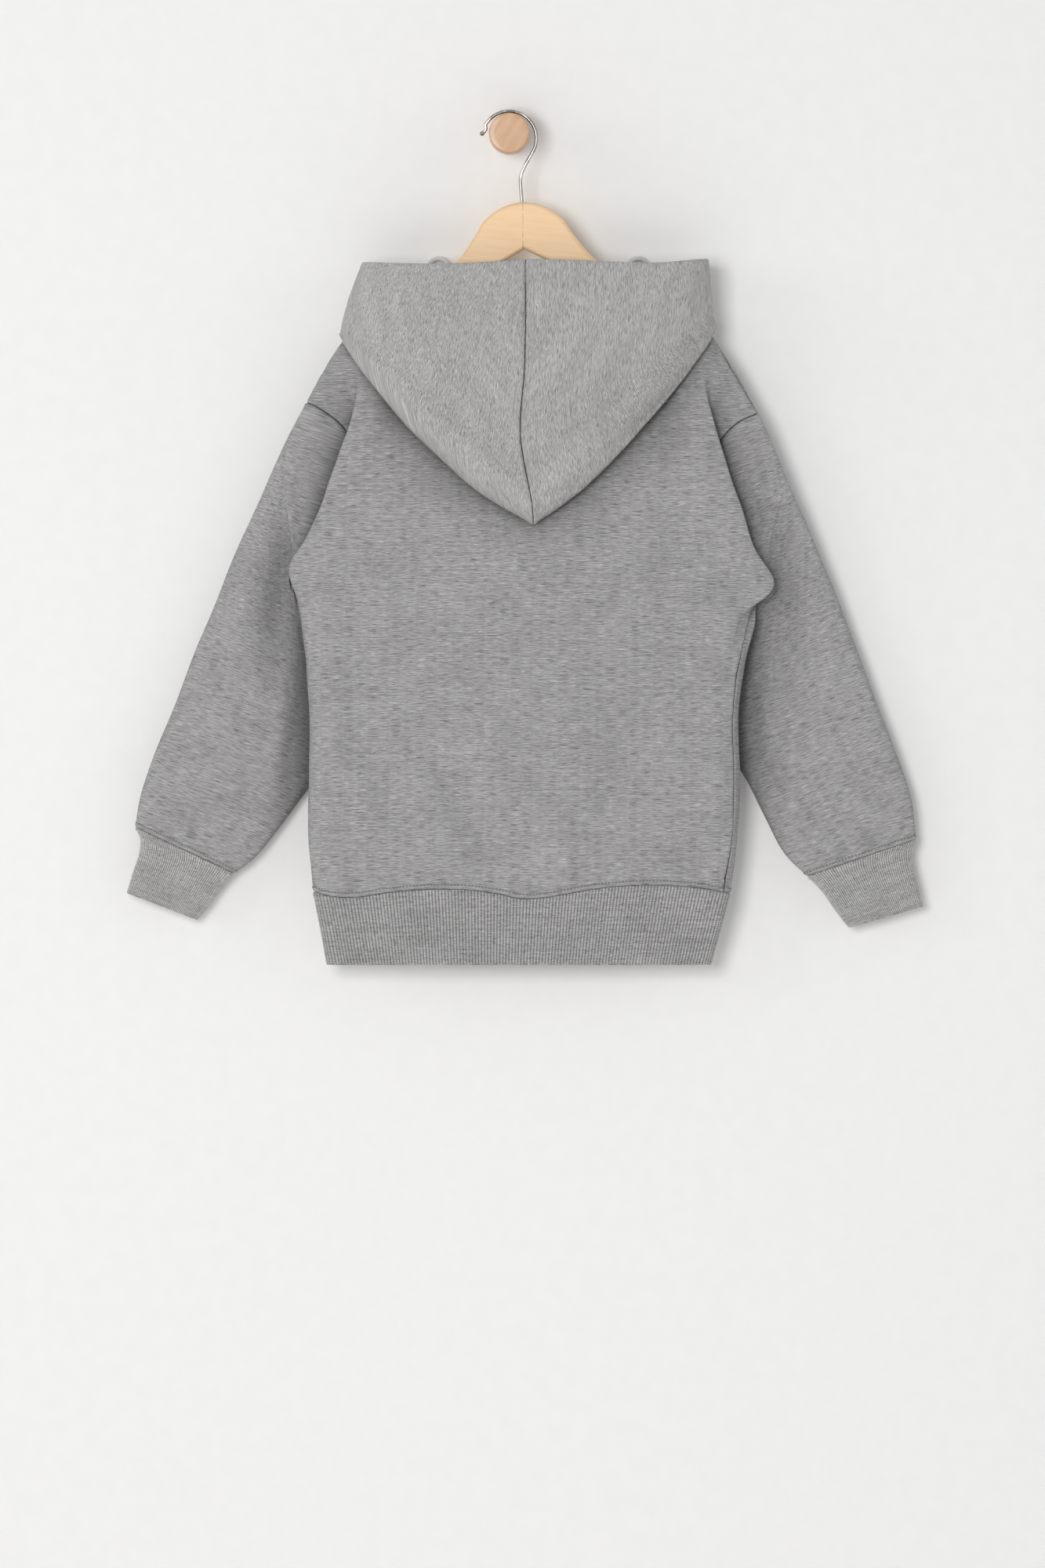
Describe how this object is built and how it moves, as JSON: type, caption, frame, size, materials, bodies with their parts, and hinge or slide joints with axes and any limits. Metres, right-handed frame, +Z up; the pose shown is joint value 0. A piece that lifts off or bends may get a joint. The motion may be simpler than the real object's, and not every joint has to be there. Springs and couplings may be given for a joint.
{
  "type": "pullover hoodie on a hanger and wall peg",
  "caption": "Pullover hoodie with ribbed cuffs and hem, hung back to the room on a wooden hanger over a round wall peg.",
  "frame": {"origin": "middle of the wall peg's flat back, which is fixed to the wall", "axes": "+Y into the wall, +Z up, +X to the right as the garment's back is seen"},
  "size_m": [0.712, 0.0929, 0.7642],
  "materials": {
    "fleece": "brushed grey marl",
    "hood_fleece": "brushed grey marl",
    "rib": "ribbed grey marl knit",
    "cord": "braided cord",
    "wood": "clear satin varnish on pale beech",
    "chrome_wire": "polished"
  },
  "bodies": {
    "root": {"back_panel": "fleece", "front_panel": "fleece", "sleeve_left": "fleece", "sleeve_right": "fleece", "cuff_left": "rib", "cuff_right": "rib", "hem_band": "rib", "hood_left": "hood_fleece", "hood_right": "hood_fleece", "drawcord_left": "cord", "drawcord_right": "cord", "cord_knot_left": "cord", "cord_knot_right": "cord", "hanger_bar": "wood", "hanger_hook": "chrome_wire", "wall_peg": "wood"}
  },
  "joints": []
}
